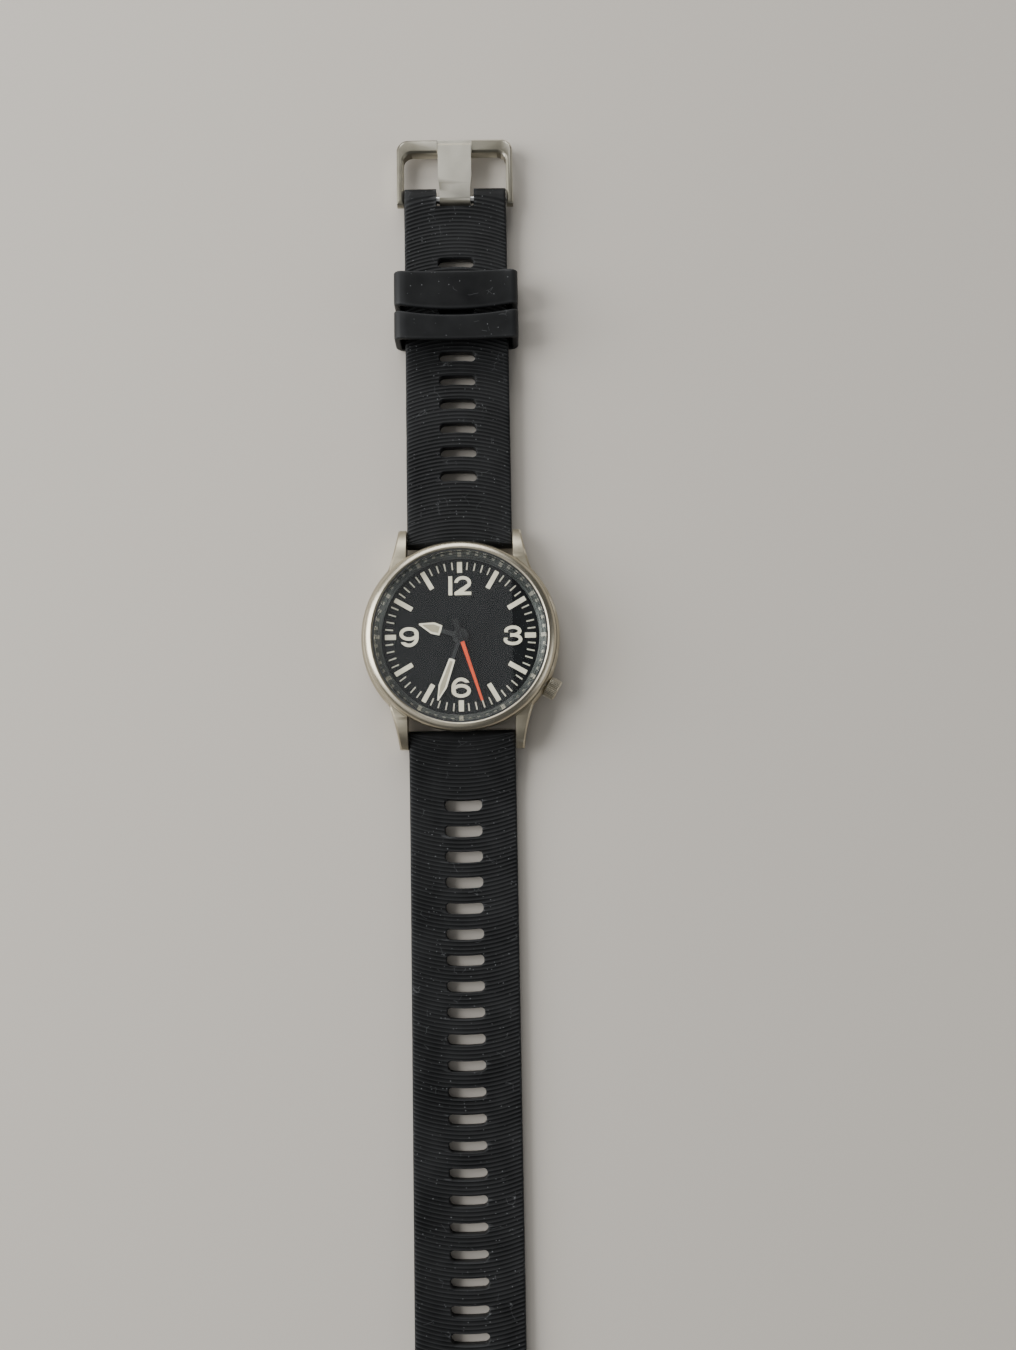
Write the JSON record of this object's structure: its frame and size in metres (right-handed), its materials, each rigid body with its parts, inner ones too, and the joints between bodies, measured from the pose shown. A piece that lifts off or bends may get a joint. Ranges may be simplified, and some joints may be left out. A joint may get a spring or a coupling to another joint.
{
  "type": "wristwatch",
  "caption": "Round three-hand field watch with numerals at the quarters, a slotted rubber strap with loose keepers and a pin buckle, opened flat.",
  "frame": {"origin": "on the dial's axis, at the outer face of the case back, which rests on the table", "axes": "+Y towards 12 o'clock along the strap, +X towards 3 o'clock, +Z out of the dial"},
  "size_m": [0.0375, 0.2445, 0.0087],
  "materials": {
    "case_metal": "bead-blasted titanium",
    "bezel_metal": "circular brushed titanium",
    "crown_metal": "knurled titanium",
    "crystal_glass": "flat polished",
    "seal_rubber": "smooth",
    "chapter_finish": "satin dark grey",
    "dial_black": "matt black",
    "lume": "cream luminous paint",
    "track_print": "printed",
    "hand_paint": "white paint with black stems",
    "hand_lume": "aged luminous paint",
    "second_paint": "orange-red paint",
    "steel": "fine ground",
    "brass": "gilt",
    "holder_plastic": "moulded",
    "board": "solder mask",
    "copper": "enamelled copper wire",
    "strap_rubber": "matt, fine grooves",
    "keeper_rubber": "smooth satin",
    "buckle_metal": "bead-blasted titanium"
  },
  "bodies": {
    "case": {"battery": "steel", "battery_clamp": "steel", "bezel": "bezel_metal", "case_back": "case_metal", "case_back_gasket": "seal_rubber", "chapter_ring": "chapter_finish", "circuit_board": "board", "coil_core": "steel", "coil_winding": "copper", "crown_tube": "steel", "crystal": "crystal_glass", "crystal_gasket": "seal_rubber", "dial": "dial_black", "lug_bar_12": "steel", "lug_bar_6": "steel", "lug_bar_springs": "steel", "lume_markers": "lume", "main_plate": "brass", "mid_case": "case_metal", "minute_track": "track_print", "movement_holder": "holder_plastic", "movement_screws": "steel", "negative_contact": "brass", "quartz_oscillator": "steel", "setting_lever": "steel", "stator": "steel", "train_bridge": "brass", "yoke": "steel"},
    "second_hand": {"second_hand": "second_paint", "second_wheel": "brass"},
    "minute_hand": {"minute_hand": "hand_paint", "minute_hand_lume": "hand_lume", "centre_wheel": "brass"},
    "hour_hand": {"hour_hand": "hand_paint", "hour_hand_lume": "hand_lume", "hour_wheel": "brass"},
    "third_wheel": {"third_wheel": "brass"},
    "minute_wheel": {"minute_wheel": "brass"},
    "setting_wheel": {"setting_wheel": "brass"},
    "intermediate_wheel": {"intermediate_wheel": "brass"},
    "rotor": {"rotor": "steel"},
    "sliding_pinion": {"sliding_pinion": "steel"},
    "crown": {"crown": "crown_metal", "winding_stem": "steel", "crown_gasket": "seal_rubber"},
    "strap_short": {"strap_short": "strap_rubber"},
    "strap_long": {"strap_long": "strap_rubber"},
    "keeper_lower": {"keeper_lower": "keeper_rubber"},
    "keeper_upper": {"keeper_upper": "keeper_rubber"},
    "buckle_frame": {"buckle_frame": "buckle_metal", "buckle_bar": "steel", "buckle_bar_spring": "steel"},
    "buckle_tang": {"buckle_tang": "buckle_metal"},
    "buckle_bar_tip_left": {"buckle_bar_tip_left": "steel"},
    "buckle_bar_tip_right": {"buckle_bar_tip_right": "steel"},
    "lug_bar_12_tip_left": {"lug_bar_12_tip_left": "steel"},
    "lug_bar_12_tip_right": {"lug_bar_12_tip_right": "steel"},
    "lug_bar_6_tip_left": {"lug_bar_6_tip_left": "steel"},
    "lug_bar_6_tip_right": {"lug_bar_6_tip_right": "steel"}
  },
  "joints": [
    {"name": "second_hand_turn", "type": "hinge", "parent": "case", "child": "second_hand", "pos_m": [0, 0, 0], "axis": [0, 0, -1], "continuous": true},
    {"name": "minute_hand_turn", "type": "hinge", "parent": "case", "child": "minute_hand", "pos_m": [0, 0, 0], "axis": [0, 0, -1], "continuous": true},
    {"name": "hour_hand_turn", "type": "hinge", "parent": "case", "child": "hour_hand", "pos_m": [0, 0, 0], "axis": [0, 0, -1], "continuous": true},
    {"name": "third_wheel_turn", "type": "hinge", "parent": "case", "child": "third_wheel", "pos_m": [-0.00351, -0.00128, 0], "axis": [0, 0, -1], "continuous": true},
    {"name": "minute_wheel_turn", "type": "hinge", "parent": "case", "child": "minute_wheel", "pos_m": [0.0026, -0.0015, 0], "axis": [0, 0, -1], "continuous": true},
    {"name": "setting_wheel_turn", "type": "hinge", "parent": "case", "child": "setting_wheel", "pos_m": [0.00563, -0.00325, 0], "axis": [0, 0, -1], "continuous": true},
    {"name": "intermediate_wheel_turn", "type": "hinge", "parent": "case", "child": "intermediate_wheel", "pos_m": [0.00329, 0.0012, 0], "axis": [0, 0, -1], "continuous": true},
    {"name": "rotor_turn", "type": "hinge", "parent": "case", "child": "rotor", "pos_m": [0.00532, 0.00194, 0], "axis": [0, 0, -1], "continuous": true},
    {"name": "crown_turn", "type": "hinge", "parent": "case", "child": "sliding_pinion", "pos_m": [0, 0, 0.004], "axis": [0.866, -0.5, 0], "continuous": true},
    {"name": "crown_pull", "type": "slide", "parent": "sliding_pinion", "child": "crown", "axis": [0.866, -0.5, 0], "range_m": [0, 0.0009]},
    {"name": "strap_short_hinge", "type": "hinge", "parent": "case", "child": "strap_short", "pos_m": [0, 0.019, 0.0026], "axis": [1, 0, 0], "range_deg": [-75, 45]},
    {"name": "strap_long_hinge", "type": "hinge", "parent": "case", "child": "strap_long", "pos_m": [0, -0.019, 0.0026], "axis": [1, 0, 0], "range_deg": [-45, 70]},
    {"name": "keeper_lower_slide", "type": "slide", "parent": "strap_short", "child": "keeper_lower", "axis": [0, 1, 0], "range_m": [-0.029, 0]},
    {"name": "keeper_upper_slide", "type": "slide", "parent": "strap_short", "child": "keeper_upper", "axis": [0, 1, 0], "range_m": [0, 0.0095]},
    {"name": "buckle_hinge", "type": "hinge", "parent": "strap_short", "child": "buckle_frame", "pos_m": [0, 0.0875, 0.0026], "axis": [1, 0, 0], "range_deg": [-70, 30]},
    {"name": "tang_hinge", "type": "hinge", "parent": "buckle_frame", "child": "buckle_tang", "pos_m": [0, 0.0875, 0.0026], "axis": [1, 0, 0], "range_deg": [0, 60]},
    {"name": "lug_bar_12_tip_left_press", "type": "slide", "parent": "case", "child": "lug_bar_12_tip_left", "axis": [1, 0, 0], "range_m": [0, 0.001], "stiffness_N_per_m": 250, "springref_m": -0.002, "deforming": ["lug_bar_springs"]},
    {"name": "lug_bar_12_tip_right_press", "type": "slide", "parent": "case", "child": "lug_bar_12_tip_right", "axis": [-1, 0, 0], "range_m": [0, 0.001], "stiffness_N_per_m": 250, "springref_m": -0.002, "deforming": ["lug_bar_springs"]},
    {"name": "lug_bar_6_tip_left_press", "type": "slide", "parent": "case", "child": "lug_bar_6_tip_left", "axis": [1, 0, 0], "range_m": [0, 0.001], "stiffness_N_per_m": 250, "springref_m": -0.002, "deforming": ["lug_bar_springs"]},
    {"name": "lug_bar_6_tip_right_press", "type": "slide", "parent": "case", "child": "lug_bar_6_tip_right", "axis": [-1, 0, 0], "range_m": [0, 0.001], "stiffness_N_per_m": 250, "springref_m": -0.002, "deforming": ["lug_bar_springs"]},
    {"name": "buckle_bar_tip_left_press", "type": "slide", "parent": "buckle_frame", "child": "buckle_bar_tip_left", "axis": [1, 0, 0], "range_m": [0, 0.0009], "stiffness_N_per_m": 250, "springref_m": -0.002, "deforming": ["buckle_bar_spring"]},
    {"name": "buckle_bar_tip_right_press", "type": "slide", "parent": "buckle_frame", "child": "buckle_bar_tip_right", "axis": [-1, 0, 0], "range_m": [0, 0.0009], "stiffness_N_per_m": 250, "springref_m": -0.002, "deforming": ["buckle_bar_spring"]}
  ],
  "couplings": [
    {"joint": "minute_hand_turn", "follows": "second_hand_turn", "ratio": 0.016667},
    {"joint": "hour_hand_turn", "follows": "second_hand_turn", "ratio": 0.0013889},
    {"joint": "third_wheel_turn", "follows": "second_hand_turn", "ratio": -0.13333},
    {"joint": "minute_wheel_turn", "follows": "second_hand_turn", "ratio": -0.0055556},
    {"joint": "setting_wheel_turn", "follows": "second_hand_turn", "ratio": 0.01},
    {"joint": "intermediate_wheel_turn", "follows": "second_hand_turn", "ratio": -6},
    {"joint": "rotor_turn", "follows": "second_hand_turn", "ratio": 30}
  ]
}
